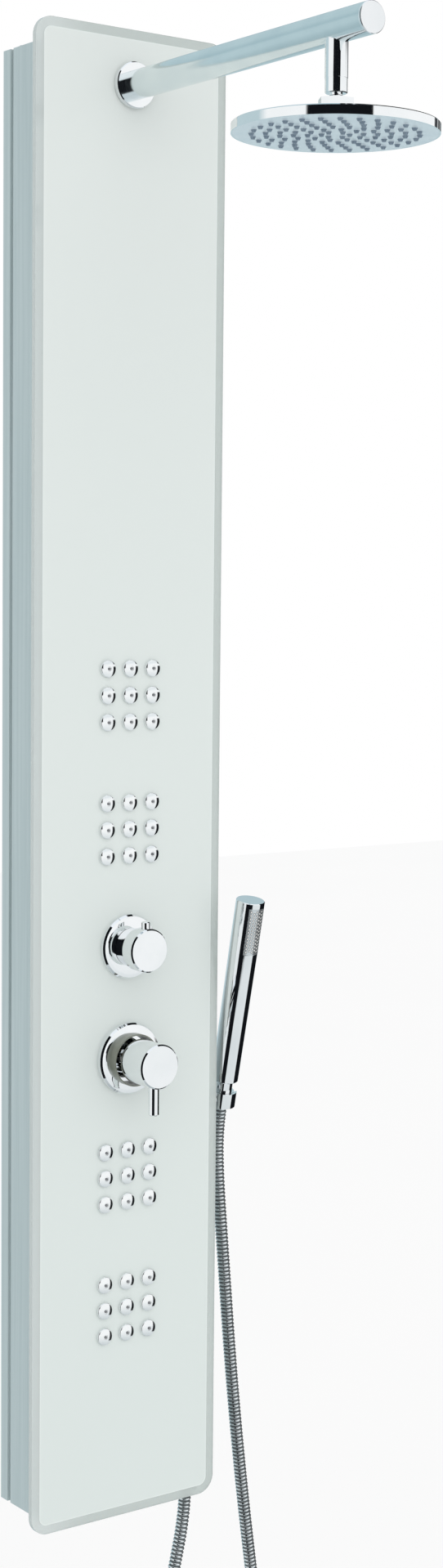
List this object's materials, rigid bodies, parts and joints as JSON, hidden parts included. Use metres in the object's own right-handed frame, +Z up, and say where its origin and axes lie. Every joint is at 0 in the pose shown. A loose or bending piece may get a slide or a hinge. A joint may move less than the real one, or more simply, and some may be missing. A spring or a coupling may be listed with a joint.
{
  "type": "shower panel column",
  "caption": "Tall glass-fronted shower column with a rain head on an arm, groups of body jets, a diverter knob, a lever mixer and a stick handset on a ribbed hose.",
  "frame": {"origin": "middle of the upper wall bracket's two screws, on the wall face", "axes": "+Z up, +Y into the wall, -Y into the room, +X to the right for a person who faces the panel"},
  "size_m": [0.3318, 0.5207, 1.9611],
  "materials": {
    "back_painted_glass": "polished, painted pale white behind",
    "foam_tape": "foam",
    "silver_profile": "satin anodised",
    "zinc_steel": "zinc plated",
    "chromed_brass": "polished",
    "chromed_steel": "polished",
    "nozzle_plate_plastic": "smooth",
    "nozzle_rubber": "matt silicone",
    "jet_core": "matt silicone",
    "sleeve_dark": "satin",
    "black_rubber": "matt",
    "raw_brass": "machined",
    "pin_steel": "ground",
    "white_plastic": "moulded",
    "copper_pipe": "drawn copper",
    "chromed_plastic": "polished plating",
    "spray_grey": "smooth",
    "hose_metal": "polished ribbed"
  },
  "bodies": {
    "panel": {"glass_panel": "back_painted_glass", "bonding_tape": "foam_tape", "casing_profile": "silver_profile", "casing_top_cap": "silver_profile", "casing_bottom_cap": "silver_profile", "cap_screws": "zinc_steel", "upper_wall_bracket": "zinc_steel", "lower_wall_bracket": "zinc_steel", "upper_hanger_plate": "zinc_steel", "lower_hanger_plate": "zinc_steel", "arm_gasket": "black_rubber", "arm_flange": "chromed_brass", "shower_arm": "chromed_brass", "arm_end_cap": "chromed_brass", "arm_tail": "raw_brass", "arm_backnut": "raw_brass", "arm_neck": "chromed_brass", "arm_elbow": "raw_brass", "ball_connector": "chromed_brass", "body_jets": "chromed_brass", "jet_nozzles": "jet_core", "jet_manifolds": "white_plastic", "diverter_rosette": "chromed_brass", "diverter_cartridge": "white_plastic", "diverter_body": "raw_brass", "mixer_rosette": "chromed_brass", "mixer_cartridge": "white_plastic", "mixer_body": "raw_brass", "mixer_sleeve": "sleeve_dark", "riser_pipe": "copper_pipe", "mixed_water_pipe": "copper_pipe", "jet_feed_pipe": "copper_pipe", "handset_feed_pipe": "copper_pipe", "outlet_elbow": "raw_brass", "hot_inlet": "raw_brass", "cold_inlet": "raw_brass", "check_valves": "raw_brass", "supply_pipes": "copper_pipe", "hose_lower_nut": "chromed_brass", "hose": "hose_metal", "handset_holder": "chromed_brass", "holder_screw": "zinc_steel"},
    "diverter": {"diverter_knob": "chromed_brass", "diverter_marker": "chromed_brass", "diverter_stem": "raw_brass"},
    "mixer_stem": {"mixer_spindle": "raw_brass"},
    "mixer_lever_handle": {"mixer_handle": "chromed_brass", "mixer_lever": "chromed_brass", "handle_pin": "pin_steel"},
    "inner_liner": {"inner_ball_liner": "white_plastic"},
    "outer_liner": {"outer_ball_liner": "white_plastic"},
    "rain_head": {"collar_nut": "chromed_brass", "head_shell": "chromed_steel", "nozzle_plate": "nozzle_plate_plastic", "head_nozzles": "nozzle_rubber"},
    "handset": {"handset_body": "chromed_plastic", "handset_spray_face": "spray_grey", "handset_end_cap": "chromed_plastic", "handset_spigot": "chromed_brass", "hose_cone_nut": "chromed_brass"}
  },
  "joints": [
    {"name": "diverter_turn", "type": "hinge", "parent": "panel", "child": "diverter", "pos_m": [0, -0.11, -0.7885], "axis": [0, -1, 0], "range_deg": [-60, 60]},
    {"name": "mixer_turn", "type": "hinge", "parent": "panel", "child": "mixer_stem", "pos_m": [0, -0.101, -0.9105], "axis": [0, -1, 0], "range_deg": [-50, 50]},
    {"name": "mixer_lift", "type": "hinge", "parent": "mixer_stem", "child": "mixer_lever_handle", "pos_m": [0, -0.101, -0.9105], "axis": [-1, 0, 0], "range_deg": [0, 20]},
    {"name": "head_tilt_x", "type": "hinge", "parent": "panel", "child": "inner_liner", "pos_m": [0, -0.422, 0.0492], "axis": [1, 0, 0], "range_deg": [-15, 15]},
    {"name": "head_tilt_y", "type": "hinge", "parent": "inner_liner", "child": "outer_liner", "pos_m": [0, -0.422, 0.0492], "axis": [0, 1, 0], "range_deg": [-15, 15]},
    {"name": "head_spin", "type": "hinge", "parent": "outer_liner", "child": "rain_head", "pos_m": [0, -0.422, 0.0492], "axis": [0, 0, 1], "continuous": true},
    {"name": "handset_lift", "type": "slide", "parent": "panel", "child": "handset", "axis": [0, -0.213, 0.977], "range_m": [0, 0.06], "deforming": ["hose"]}
  ]
}
